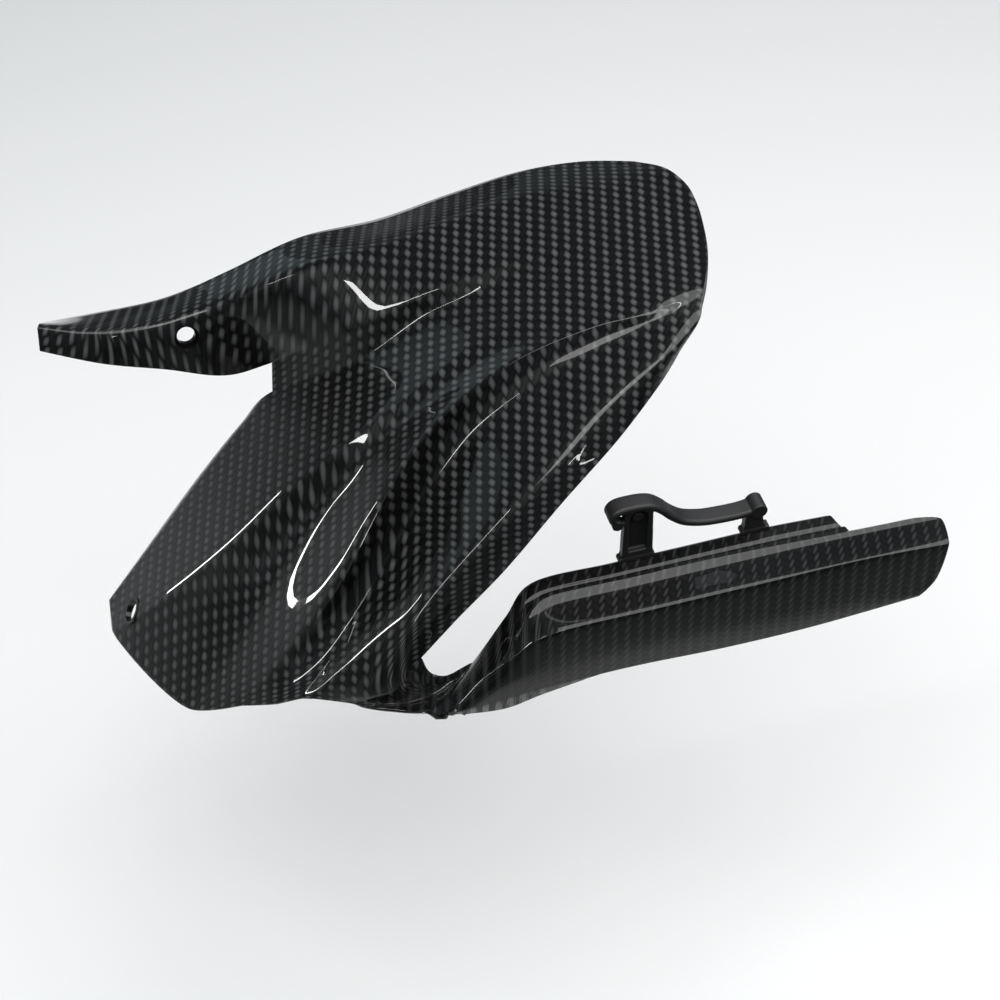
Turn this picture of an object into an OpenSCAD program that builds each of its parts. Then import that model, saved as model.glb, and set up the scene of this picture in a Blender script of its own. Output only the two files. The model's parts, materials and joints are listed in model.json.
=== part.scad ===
// Rear hugger mudguard: a one-piece carbon moulding that covers the front upper quarter of the
// rear tyre, with a mounting arm on the right, a front tab, and a chain guard on the left that
// carries a moulded hose guide.
// Frame: X forward, Y to the rider's left, Z up, as it sits on the machine.
// Millimetres. The drawing is built about the wheel axle and then moved so that the arm's
// screw hole is the origin.

/* [What to draw] */
// Piece to draw

/* [Moulding] */
// Thickness of the moulding
wall = 2; // [1.6:0.1:2.6]
// Rows of facets from one station of the loft to the next
rows_per_station = 5; // [3:1:7]

/* [Fender over the tyre] */
// Radius of the path that the fender follows over the tyre
arch_radius = 345; // [335:1:360]
// Angle above the horizontal where the arch runs out into the straight front panel
panel_angle = 35; // [31:1:39]
// Length of the front panel ahead of that angle
panel_length = 250; // [230:5:270]
// Length of the arch behind that angle, along its path
tail_length = 255; // [230:5:270]
// Half the width of the fender
fender_half_width = 120; // [112:1:128]
// Height of the ridges, in per cent of the usual height
relief = 100; // [60:5:120]

/* [Arm on the right] */
// Length of the arm ahead of the fender
arm_length = 133; // [120:1:150]
// Width of the arm's top face, with its inner face
arm_width = 48; // [42:1:54]
// Height of the arm's inner face at its root
arm_height = 44; // [38:1:50]

/* [Chain guard on the left] */
// Length of the chain guard
guard_length = 300; // [280:5:320]
// Sideways place of the guard's outer face
guard_outer = 165; // [160:1:170]
// Height of the guard's top face above the axle
guard_top = 214; // [208:1:220]
// Width of the guard, from its inner edge to its outer face
guard_width = 48; // [44:1:52]
// Depth of the skirt
skirt_depth = 45; // [38:1:52]
// Drop from the top face to the ledge that carries the hose guide
ledge_drop = 10; // [7:0.5:13]

/* [Screw holes] */
// Diameter of the hole in the arm
arm_hole_d = 11; // [9:0.5:12]
// Diameter of the round recess for the screw's head in the arm
recess_d = 15; // [14:0.5:16]
// Depth of that recess below the face of the arm
recess_depth = 3.5; // [3:0.25:4]
// Diameter of the hole in the front tab
tab_hole_d = 14; // [11:0.5:15]
// Diameter of the raised ring round the front tab's hole
tab_ring_d = 19; // [18:0.5:21]

/* [Hose guide] */
// Length of the guide's strap
strap_length = 88; // [84:1:94]
// Width of the strap
strap_width = 11.5; // [9:0.5:13]
// Thickness of the strap
strap_thickness = 4.5; // [3.5:0.5:5]
// Height of the strap's high end above the ledge
strap_high = 42; // [38:1:46]
// Height of the strap's low middle above the ledge
strap_low = 16; // [14:1:20]
// Depth of the guide's legs across the ledge
leg_depth = 5; // [4:0.5:6]
// Width of the taller leg
leg_width = 18; // [16:1:20]

/* [Hidden] */
$fn = 48;
eps = 0.01;

// Places

// A point on the fender: s runs along the tyre path in per cent of the panel (ahead, minus) or
// of the tail (behind, plus), y is in per cent of the half width, h is millimetres of relief.
function on_arch(p) =
    let (a = p[0] < 0 ? p[0] * panel_length / 100 : p[0] * tail_length / 100,
         r = arch_radius + p[2] * relief / 100,
         t = panel_angle + max(a, 0) / arch_radius * 180 / PI,
         f = min(a, 0))
    [r * cos(t) - f * sin(t), p[1] * fender_half_width / 100, r * sin(t) + f * cos(t)];

// The lower inner corner of the arm's root, and a point on the arm in per cent of its length,
// width and height from that corner.
arm_root = [arch_radius * cos(panel_angle) + 26, -102, arch_radius * sin(panel_angle) - 3];
function on_arm(p) = arm_root + [p[0] * arm_length, -p[1] * arm_width, p[2] * arm_height] / 100;

// A point on the chain guard: per cent of its length from the rear, millimetres inward from the
// outer face and millimetres down from the top face.
guard_rear = 280 - guard_length;
function on_guard(p) =
    [guard_rear + p[0] * guard_length / 100, guard_outer - p[1], guard_top - p[2]];

// Rails of the loft, each from the front edge to the tail

arm_outer = concat([for (p = [[95, 100, 64], [72, 100, 62], [46, 100, 62], [28, 100, 72]]) on_arm(p)],
    [for (p = [[3, -125, 52], [17, -125, 27], [31, -124, -5], [49, -111, -12], [67, -98, -14],
               [82, -83, -14], [94, -65, -12]]) on_arch(p)]);
arm_crease = concat([for (p = [[100, 28, 128], [80, 28, 102], [61, 28, 90], [41, 28, 92]]) on_arm(p)],
    [for (p = [[4, -96, 60], [20, -88, 41], [35, -78, 23], [51, -71, 11], [68, -64, 4],
               [83, -50, 0], [99, -41, 0]]) on_arch(p)]);
arm_inner = concat([for (p = [[101, 16, 98], [75, 12, 56], [48, 8, 26], [22, 2, -2]]) on_arm(p)],
    [for (p = [[-8, -91, 15], [17, -55, 16], [35, -41, 14], [51, -31, 10], [67, -22, 6],
               [83, -12, 3], [101, -25, 1]]) on_arch(p)]);
panel_edge = [for (p = [[-99, -100, 2], [-80, -100, 2], [-53, -100, 2], [-31, -97, 2], [-16, -90, 3],
    [13, -48, 4], [34, -36, 6], [50, -23, 6], [67, -14, 5], [83, -5, 3], [101, -14, 1]]) on_arch(p)];
front_ridge = [for (p = [[-100, -78, 4], [-75, -52, 10], [-43, -27, 14], [-18, -16, 14], [3, -6, 12],
    [21, 2, 10], [36, 5, 9], [51, 8, 8], [67, 14, 7], [82, 20, 5], [100, 2, 2]]) on_arch(p)];
front_foot = [for (p = [[-81, 10, 0], [-57, 10, 0], [-30, 0, 2], [-11, 0, 4], [6, 5, 7],
    [23, 10, 8], [37, 13, 8], [51, 17, 8], [67, 23, 7], [82, 29, 5], [98, 20, 2]]) on_arch(p)];
side_ridge = [for (p = [[-62, 42, 0], [-45, 48, 3], [-16, 55, 9], [6, 47, 13], [17, 40, 14],
    [30, 34, 14], [43, 32, 13], [55, 33, 11], [69, 38, 8], [81, 44, 5], [94, 41, 2]]) on_arch(p)];
side_foot = [for (p = [[-50, 62, 0], [-40, 59, 0], [-14, 53, 0], [7, 45, 1], [19, 39, 2],
    [31, 34, 3], [43, 36, 4], [55, 38, 4], [69, 42, 3], [81, 47, 2], [92, 48, 1]]) on_arch(p)];
recess_foot = [for (p = [[-42, 72, -2], [-30, 67, -6], [-10, 56, -8], [6, 46, -8], [18, 41, -6],
    [31, 39, -3], [43, 41, 0], [56, 43, 1], [69, 45, 1], [81, 50, 1], [91, 51, 0]]) on_arch(p)];
side_line = [for (p = [[-39, 78, -2], [-29, 82, -2], [-8, 96, -2], [6, 98, -2], [18, 97, -3],
    [32, 93, -4], [46, 87, -4], [58, 79, -3], [69, 72, -3], [80, 67, -2], [90, 55, -2]]) on_arch(p)];
near_edge = [for (p = [[-31, 94, -8], [-23, 104, -8], [-16, 109, -10], [-12, 108, -14], [-8, 106, -18],
    [6, 106, -20], [26, 105, -20], [44, 97, -19], [62, 85, -18], [76, 70, -16], [84, 59, -12]]) on_arch(p)];

slot_floor = [for (p = [[109, 34, 71], [105, 32, 70], [103, 31, 66], [100, 31, 60], [98, 32, 53],
    [96, 31, 50], [95, 31, 48], [94, 31, 46], [93, 31, 44], [92, 31, 42], [91, 31, 40]]) on_guard(p)];
guard_inner = [for (p = [[105, 23, 65], [102, 22, 63], [98, 23, 61], [95, 24, 54], [91, 25, 41],
    [84, 31, 16], [77, guard_width - 1, ledge_drop + 1], [62, guard_width, ledge_drop + 1],
    [47, guard_width, ledge_drop + 1], [32, guard_width, ledge_drop + 1],
    [18, guard_width - 2, ledge_drop + 1]]) on_guard(p)];
guard_crease = [for (p = [[101, 11, 58], [100, 10, 54], [98, 9, 49], [97, 8, 46], [95, 7, 42],
    [86, 3, 18], [78, 1, 2], [59, 0, 0], [39, 0, 0], [18, 0, 0], [0, 1, 5]]) on_guard(p)];
skirt_middle = [for (p = [[100, 5, 54], [99, 4, 53], [98, 3, 49], [97, 2, 47], [96, 1, skirt_depth],
    [88, -1, skirt_depth - 12], [79, -2, skirt_depth - 18], [60, -3, skirt_depth - 18],
    [41, -3, skirt_depth - 17], [21, -3, skirt_depth - 17], [2, -1, skirt_depth - 12]]) on_guard(p)];
skirt_bottom = [for (p = [[99, 3, 51], [98, 1, 51], [98, 0, 48], [97, 0, 47], [96, -1, skirt_depth + 2],
    [89, -1, skirt_depth + 1], [80, -2, skirt_depth - 2], [62, -2, skirt_depth - 2],
    [44, -2, skirt_depth + 1], [26, -2, skirt_depth + 1], [5, -1, skirt_depth - 2]]) on_guard(p)];
skirt_lip = [for (p = [[98, 5, 52], [97, 5, 57], [96, 5, 57], [95, 5, 58], [94, 5, skirt_depth + 14],
    [86, 7, skirt_depth + 20], [78, 5, skirt_depth + 12], [62, 1, skirt_depth],
    [44, 1, skirt_depth + 3], [26, 1, skirt_depth + 3], [5, 2, skirt_depth - 2]]) on_guard(p)];

// Steps across the guard's top, from its inner edge to the crease: part of the way across, part
// of the way that the rail keeps up with the crease at the rear end, and height above the ledge,
// which falls away a little towards the rear end.
guard_steps = [[0.03, 0.01, 0], [0.19, 0.04, 0], [0.23, 0.06, -1.2], [0.29, 0.08, 3.2],
               [0.38, 0.1, 3.2], [0.49, 0.8, ledge_drop + 1], [0.57, 1.06, ledge_drop - 0.8]];
step_count = len(guard_steps);

// Loft

function catmull(a, b, c, d, t) =
    0.5 * (2 * b + (c - a) * t + (2 * a - 5 * b + 4 * c - d) * t * t + (3 * b - a - 3 * c + d) * t * t * t);
function along(rail, s) =
    let (n = len(rail) - 1, i = min(floor(s), n - 1))
    catmull(rail[max(i - 1, 0)], rail[i], rail[i + 1], rail[min(i + 2, n)], s - i);
function unit(v) = v / max(norm(v), eps / 10);
function ramp(x) = let (t = min(max(x, 0), 1)) t * t * (3 - 2 * t);

// Every rail's point in the row at station s, from the arm's outer edge to the skirt's lip.
front_stations = 4;
stations = 10;
function step_rail(k, s) =
    let (a = along(guard_inner, s), b = along(guard_crease, s), m = ramp((s - 5) / 1.2),
         rear = 0.45 * ramp((s - 7.5) / 2.5),
         even = (k + 1) / (step_count + 1) * (1 - m), g = guard_steps[k],
         f = g[0] * m + even, x = g[1] * m + even)
    [a[0] + (b[0] - a[0]) * x, a[1] + (b[1] - a[1]) * f,
     (a[2] + (b[2] - a[2]) * f) * (1 - m) + (guard_top - ledge_drop + g[2] * (1 - rear)) * m];
function row_rails(s) = concat(
    [for (r = [arm_outer, arm_crease, arm_inner, panel_edge, front_ridge, front_foot, side_ridge,
               side_foot, recess_foot, side_line, near_edge, slot_floor, guard_inner]) along(r, s)],
    [for (k = [0:step_count - 1]) step_rail(k, s)],
    [for (r = [guard_crease, skirt_middle, skirt_bottom, skirt_lip]) along(r, s)]);

// Facets across from each rail to the next, and how far each rail is rounded: 0 is a sharp bend.
spans = [3, 4, 3, 4, 3, 4, 2, 2, 3, 4, 2, 3, 1, 1, 1, 1, 1, 1, 1, 3, 3, 1, 2];
round_over = [1, 0.35, 0.35, 0.7, 0.3, 0.8, 0.25, 0.5, 0.5, 0.5, 1, 1, 1, 0.3, 0.3, 0.4, 0.6, 0.4,
              0.8, 0.5, 0.25, 0.8, 0.3, 1];
notch_rail = 2;
slot_rail = 10;
slot_end_rail = 12;

// How far a rail is joined across to its neighbours: the sides of the notch and of the slot are
// free edges along part of their length.
function joined(k, s) =
    k == notch_rail || k == notch_rail + 1 ? ramp((s - front_stations) / 2)
    : k == slot_rail || k == slot_end_rail ? ramp((front_stations - s) / 1.5)
    : k == slot_end_rail + 1 || k == slot_end_rail + 2 ? ramp((6 - s) / 1.5)
    : 1;
function rounding(k, s) =
    let (m = k > slot_rail ? 0 : ramp((s - stations + 2) / 2)) round_over[k] * (1 - m) + m;
function cross_row(s) =
    let (q = row_rails(s), n = len(q) - 1)
    concat([for (k = [0:n - 1])
        let (chord = q[k + 1] - q[k], d = unit(chord), m = norm(chord),
             da = unit(d + (k > 0 ? unit(q[k] - q[k - 1]) : d)),
             db = unit(d + (k < n - 1 ? unit(q[k + 2] - q[k + 1]) : d)),
             ja = joined(k, s), jb = joined(k + 1, s),
             ta = unit(d * (1 - ja) + da * ja) * m * rounding(k, s),
             tb = unit(d * (1 - jb) + db * jb) * m * rounding(k + 1, s))
        for (i = [0:spans[k] - 1])
            let (t = i / spans[k], t2 = t * t, t3 = t2 * t)
            q[k] * (2 * t3 - 3 * t2 + 1) + ta * (t3 - 2 * t2 + t)
            + q[k + 1] * (3 * t2 - 2 * t3) + tb * (t3 - t2)],
        [q[n]]);

function total(v, n) = n <= 0 ? 0 : v[n - 1] + total(v, n - 1);
row_count = stations * rows_per_station;
column_count = total(spans, len(spans));
notch_columns = [total(spans, notch_rail), total(spans, notch_rail + 1)];
slot_columns = [total(spans, slot_rail), total(spans, slot_end_rail)];
notch_row = front_stations * rows_per_station;
skin = [for (i = [0:row_count]) cross_row(i / rows_per_station)];

// A cell of the grid is left out in the notch ahead of the notch row and in the slot behind it.
function filled(i, j) =
    i >= 0 && j >= 0 && i < row_count && j < column_count
    && !(i < notch_row && j >= notch_columns[0] && j < notch_columns[1])
    && !(i >= notch_row && j >= slot_columns[0] && j < slot_columns[1]);
function cell_normal(i, j) =
    filled(i, j)
    ? unit(cross(skin[i + 1][j + 1] - skin[i][j], skin[i + 1][j] - skin[i][j + 1])) : [0, 0, 0];
function normal_at(i, j) =
    unit(cell_normal(i, j) + cell_normal(i - 1, j) + cell_normal(i, j - 1) + cell_normal(i - 1, j - 1));

module shell_skin() {
    w = column_count + 1;
    h = row_count + 1;
    inner = [for (i = [0:row_count]) [for (j = [0:column_count])
        skin[i][j] - wall * normal_at(i, j)]];
    points = concat([for (r = skin) each r], [for (r = inner) each r]);
    faces = [for (i = [0:row_count - 1]) for (j = [0:column_count - 1]) if (filled(i, j))
        let (a = i * w + j, b = a + 1, c = a + w + 1, d = a + w, o = h * w)
        each concat(
            [[a, d, b], [b, d, c], [a + o, b + o, d + o], [b + o, c + o, d + o]],
            filled(i - 1, j) ? [] : [[a, b, b + o], [a, b + o, a + o]],
            filled(i + 1, j) ? [] : [[c, d, d + o], [c, d + o, c + o]],
            filled(i, j - 1) ? [] : [[d, a, a + o], [d, a + o, d + o]],
            filled(i, j + 1) ? [] : [[b, c, c + o], [b, c + o, b + o]])];
    polyhedron(points = points, faces = faces, convexity = 12);
}

// Seats of the two screws, and the turns that lay a cylinder along each screw.
arm_seat = on_arm([36, 24, 64]);
arm_turn = [-73, 0, 0];
tab_seat = on_arch([-89, -72, 7]);
tab_turn = [0, 92 - panel_angle, -8];

module at_screw(place, turn) {
    translate(place) rotate(turn) children();
}

module mudguard_shell() {
    color([0.12, 0.12, 0.13])
        difference() {
            union() {
                shell_skin();
                at_screw(arm_seat, arm_turn)
                    translate([0, 0, -recess_depth])
                        cylinder(d = recess_d + 5, h = 2 * recess_depth - 1);
                at_screw(tab_seat, tab_turn)
                    translate([0, 0, -wall - 2])
                        cylinder(d = tab_ring_d, h = wall + 2);
            }
            at_screw(arm_seat, arm_turn) {
                cylinder(d = recess_d, h = 12);
                translate([0, 0, -2 * recess_depth])
                    cylinder(d = arm_hole_d, h = 12);
            }
            at_screw(tab_seat, tab_turn)
                translate([0, 0, -10])
                    cylinder(d = tab_hole_d, h = 20);
        }
}

// Hose guide

ledge_top = guard_top - ledge_drop;
guide_middle = guard_rear + 140 * guard_length / 300;
leg_outer = guard_outer - guard_width + 2.5;
// The strap's line from its hooked front end to its rear end: per cent of half its length and
// per cent of the rise from its low middle to its high end.
strap_line = [for (p = [[96, 60], [103, 80], [96, 97], [75, 100], [53, 94], [37, 73], [23, 46],
    [5, 21], [-20, 6], [-45, 1], [-70, 0], [-86, 3], [-96, 3]])
    [p[0] * strap_length / 200, strap_low + p[1] * (strap_high - strap_low) / 100]];
strap_steps = 5;
strap_path = [for (i = [0:strap_steps * (len(strap_line) - 1)]) along(strap_line, i / strap_steps)];
function path_side(i, side) =
    let (n = len(strap_path) - 1, d = unit(strap_path[min(i + 1, n)] - strap_path[max(i - 1, 0)]))
    strap_path[i] + side * strap_thickness / 2 * [-d[1], d[0]];

// Lays a drawing in the guard's length and height against the outer side of the legs, and gives
// it the depth d inward.
module upright(d, out = 0) {
    translate([guide_middle, leg_outer + out, ledge_top])
        rotate([90, 0, 0])
            linear_extrude(height = d) children();
}

// A leg at x along the ledge, w wide, that spreads to the rear over its foot.
module leg(x, w, h, spread) {
    foot = leg_depth / 2;
    upright(leg_depth)
        polygon([[x - w / 2 - spread, 0], [x + w / 2 + 1, 0], [x + w / 2, foot * 2],
                 [x + w / 2 - 0.6, h], [x - w / 2 + 0.6, h], [x - w / 2 - spread / 3, foot * 2]]);
    upright(leg_depth + 1, 0.5)
        polygon([[x - w / 2 - spread - 1, 0], [x + w / 2 + 2, 0], [x + w / 2 + 1.5, foot],
                 [x - w / 2 - spread - 0.5, foot]]);
}

module hose_guide() {
    high_leg = strap_length * 0.34;
    low_leg = -strap_length * 0.45;
    pocket = leg_width * 0.3;
    pocket_top = strap_high - pocket - 3;
    front_roll = strap_thickness * 0.75;
    rear_roll = strap_thickness * 1.1;
    color([0.07, 0.07, 0.07])
        union() {
            upright(strap_width, 1)
                polygon(concat([for (i = [0:len(strap_path) - 1]) path_side(i, 1)],
                               [for (i = [len(strap_path) - 1:-1:0]) path_side(i, -1)]));
            upright(strap_width, 1)
                translate(strap_path[0]) circle(r = front_roll);
            upright(strap_width, 1)
                translate(strap_path[len(strap_path) - 1]) circle(r = rear_roll);
            difference() {
                leg(high_leg, leg_width, strap_high - 1.5, 1);
                upright(leg_depth - 1.5, eps)
                    polygon([[high_leg - pocket, 7], [high_leg + pocket, 7],
                             [high_leg + pocket, pocket_top], [high_leg - pocket, pocket_top]]);
                translate([guide_middle + high_leg, leg_outer + eps, ledge_top + pocket_top])
                    rotate([90, 0, 0]) cylinder(r = pocket, h = leg_depth - 1.5);
            }
            translate([guide_middle + high_leg, leg_outer - 1, ledge_top + pocket_top])
                rotate([90, 0, 0]) cylinder(r = pocket * 0.6, h = leg_depth - 2);
            leg(low_leg, leg_width * 0.6, strap_low, 4);
        }
}

// The whole drawing, moved so that the seat of the arm's screw is the origin.
translate(-arm_seat) {
    mudguard_shell();
    hose_guide();
}
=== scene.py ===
import json
import math
import bmesh
import bpy
import numpy as np
from mathutils import Matrix, Vector


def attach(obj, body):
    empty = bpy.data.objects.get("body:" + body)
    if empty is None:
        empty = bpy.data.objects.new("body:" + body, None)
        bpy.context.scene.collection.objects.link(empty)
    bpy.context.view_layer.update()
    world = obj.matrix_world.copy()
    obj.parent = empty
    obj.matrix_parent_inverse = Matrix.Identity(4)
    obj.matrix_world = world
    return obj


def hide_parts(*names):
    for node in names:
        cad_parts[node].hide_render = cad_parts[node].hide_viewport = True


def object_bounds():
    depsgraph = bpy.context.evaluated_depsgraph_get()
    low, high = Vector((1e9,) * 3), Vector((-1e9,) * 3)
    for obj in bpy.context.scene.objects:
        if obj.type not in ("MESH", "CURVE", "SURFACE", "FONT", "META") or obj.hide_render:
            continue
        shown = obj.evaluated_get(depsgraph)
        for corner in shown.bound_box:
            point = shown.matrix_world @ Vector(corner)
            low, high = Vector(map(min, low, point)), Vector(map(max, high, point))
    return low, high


# Rear hugger mudguard: a ridged twill carbon shell in gloss lacquer and a satin hose guide.
# Lengths of the mouldings are in millimetres about the wheel axle and become metres in the
# frame of the arm's screw when a mesh is made.

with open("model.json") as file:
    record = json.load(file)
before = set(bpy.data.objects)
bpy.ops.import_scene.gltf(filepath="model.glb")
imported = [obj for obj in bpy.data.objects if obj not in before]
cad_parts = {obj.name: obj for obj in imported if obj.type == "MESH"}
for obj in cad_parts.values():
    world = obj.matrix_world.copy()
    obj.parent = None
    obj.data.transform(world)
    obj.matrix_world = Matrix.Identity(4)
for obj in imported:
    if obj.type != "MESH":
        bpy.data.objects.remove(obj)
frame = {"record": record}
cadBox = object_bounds()
scene = bpy.context.scene
mm = 0.001
mounts = {mount["name"]: mount for mount in frame["record"]["mounts"]}
print("frame loaded")

# Camera at the photograph's viewing angle
cameraSettings = {
    "azimuth": 73.0,             # degrees round from straight ahead to the left side
    "elevation": 45.0,
    "distance": 1.5,             # metres from the point that it looks at
    "target": (-0.156487, 0.13352, 0.026956),
    "lens": 94.5,
    "shiftUp": -0.1,             # the target stands a tenth of the picture above its middle
}


def makeCamera(settings):
    around = math.radians(settings["azimuth"])
    above = math.radians(settings["elevation"])
    right = Vector((-math.sin(around), math.cos(around), 0))
    back = Vector((math.cos(around) * math.cos(above), math.sin(around) * math.cos(above), math.sin(above)))
    up = back.cross(right)
    data = bpy.data.cameras.new("camera")
    data.sensor_width = 36
    data.sensor_fit = "HORIZONTAL"
    data.lens = settings["lens"]
    data.shift_y = settings["shiftUp"]
    data.clip_start = 0.05
    camera = bpy.data.objects.new("camera", data)
    camera.matrix_world = Matrix.Translation(Vector(settings["target"]) + back * settings["distance"]) \
        @ Matrix((right, up, back)).transposed().to_4x4()
    scene.collection.objects.link(camera)
    scene.camera = camera


makeCamera(cameraSettings)
print("camera placed")

# Mesh helpers


def makeObject(name, points, faces, material, smooth=True):
    mesh = bpy.data.meshes.new(name)
    mesh.from_pydata([tuple(point) for point in points], [], faces)
    mesh.materials.append(material)
    if smooth:
        mesh.shade_smooth()
    made = bpy.data.objects.new(name, mesh)
    scene.collection.objects.link(made)
    return made


def settle(made):
    # bakes what the modifiers give into a plain mesh of its own
    graph = bpy.context.evaluated_depsgraph_get()
    mesh = bpy.data.meshes.new_from_object(made.evaluated_get(graph))
    made.modifiers.clear()
    made.data = mesh
    return made


def combine(made, other, operation):
    step = made.modifiers.new(operation.lower(), "BOOLEAN")
    step.operation = operation
    step.solver = "EXACT"
    step.object = other
    settle(made)
    bpy.data.objects.remove(other)
    return made


def makeRod(name, place, axis, radius, low, high, material, segments=96):
    turn = Vector(axis).to_track_quat("Z", "Y").to_matrix().to_4x4()
    middle = Vector(place) + Vector(axis) * (low + high) / 2
    build = bmesh.new()
    bmesh.ops.create_cone(build, cap_ends=True, segments=segments, radius1=radius, radius2=radius,
                          depth=high - low, matrix=Matrix.Translation(middle) @ turn)
    mesh = bpy.data.meshes.new(name)
    build.to_mesh(mesh)
    build.free()
    mesh.materials.append(material)
    made = bpy.data.objects.new(name, mesh)
    scene.collection.objects.link(made)
    return made


# Materials


def newMaterial(name):
    material = bpy.data.materials.new(name)
    material.use_nodes = True
    return material, material.node_tree.nodes, material.node_tree.links


def mathNode(tree, operation, first, second=None, third=None):
    node = tree.nodes.new("ShaderNodeMath")
    node.operation = operation
    for socket, value in zip(node.inputs, (first, second, third)):
        if value is None:
            continue
        if isinstance(value, (int, float)):
            socket.default_value = value
        else:
            tree.links.new(value, socket)
    return node.outputs[0]


def blendNumber(tree, mask, off, on):
    # off where the mask is 0 and on where it is 1
    return mathNode(tree, "ADD", mathNode(tree, "MULTIPLY", mask, on),
                    mathNode(tree, "MULTIPLY", mathNode(tree, "SUBTRACT", 1, mask), off))


def mixColours(tree, mask, off, on):
    node = tree.nodes.new("ShaderNodeMix")
    node.data_type = "RGBA"
    tree.links.new(mask, node.inputs["Factor"])
    for socket, value in zip([socket for socket in node.inputs if socket.type == "RGBA"], (off, on)):
        if isinstance(value, tuple):
            socket.default_value = (*value, 1)
        else:
            tree.links.new(value, socket)
    return [socket for socket in node.outputs if socket.type == "RGBA"][0]


def makeTwillGroup():
    group = bpy.data.node_groups.new("twillWeave", "ShaderNodeTree")
    group.interface.new_socket("Tows", in_out="INPUT", socket_type="NodeSocketVector")
    group.interface.new_socket("Along", in_out="OUTPUT", socket_type="NodeSocketFloat")
    group.interface.new_socket("Height", in_out="OUTPUT", socket_type="NodeSocketFloat")
    group.interface.new_socket("Variation", in_out="OUTPUT", socket_type="NodeSocketFloat")
    start = group.nodes.new("NodeGroupInput")
    end = group.nodes.new("NodeGroupOutput")
    split = group.nodes.new("ShaderNodeSeparateXYZ")
    group.links.new(start.outputs["Tows"], split.inputs[0])
    u, v = split.outputs[0], split.outputs[1]
    columnNumber = mathNode(group, "FLOOR", u)
    rowNumber = mathNode(group, "FLOOR", v)
    uInside = mathNode(group, "FRACT", u)
    vInside = mathNode(group, "FRACT", v)
    # a two over, two under twill: the sum of the two counts tells which tow is on top
    phase = mathNode(group, "FLOORED_MODULO", mathNode(group, "ADD", columnNumber, rowNumber), 4)
    alongOnTop = mathNode(group, "LESS_THAN", phase, 1.5)
    # how far along its float, and how far across its tow, a point lies
    alongFloat = mathNode(group, "MULTIPLY", mathNode(group, "ADD", phase, uInside), 0.5)
    acrossFloat = mathNode(group, "MULTIPLY",
                           mathNode(group, "ADD", mathNode(group, "SUBTRACT", phase, 2), vInside), 0.5)
    floatPlace = blendNumber(group, alongOnTop, acrossFloat, alongFloat)
    towPlace = blendNumber(group, alongOnTop, uInside, vInside)
    crown = mathNode(group, "SINE", mathNode(group, "MULTIPLY", towPlace, math.pi))
    arc = mathNode(group, "SINE", mathNode(group, "MULTIPLY", floatPlace, math.pi))
    height = mathNode(group, "MULTIPLY", crown, mathNode(group, "MAXIMUM", arc, 0.0))
    # every tow has its own slight shade along its whole length, and rows are numbered far from columns
    rowsApart = 517
    towNumber = blendNumber(group, alongOnTop, columnNumber, mathNode(group, "ADD", rowNumber, rowsApart))
    noise = group.nodes.new("ShaderNodeTexWhiteNoise")
    noise.noise_dimensions = "1D"
    group.links.new(towNumber, noise.inputs["W"])
    group.links.new(alongOnTop, end.inputs["Along"])
    group.links.new(height, end.inputs["Height"])
    group.links.new(noise.outputs["Value"], end.inputs["Variation"])
    return group


carbonSettings = {
    "gapColour": (0.002, 0.002, 0.002),
    "darkTow": (0.006, 0.006, 0.0065),
    # painted sheen: the colour of the set of tows painted lighter, as where light catches them
    "paintedSheenTow": (0.075, 0.076, 0.077),
    "guardPaintedShade": 0.62,          # painted shade: how much darker the fibres are painted on the chain guard
    "towVariation": 0.3,
    "fibreRoughness": 0.42,
    "grainAlongFibres": 0.75,    # how much the fibres stretch a light along themselves
    "weaveDepth": 0.0001,
    "specularLevel": 0.12,       # what the resin between lacquer and fibres mirrors by itself
    "lacquerRoughness": 0.02,
    "lacquerIndex": 1.4,
    "bareBelow": -0.25,          # rise of the surface's normal where the lacquer begins
    "lacqueredAbove": 0.2,       # and where it is full
}


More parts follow.
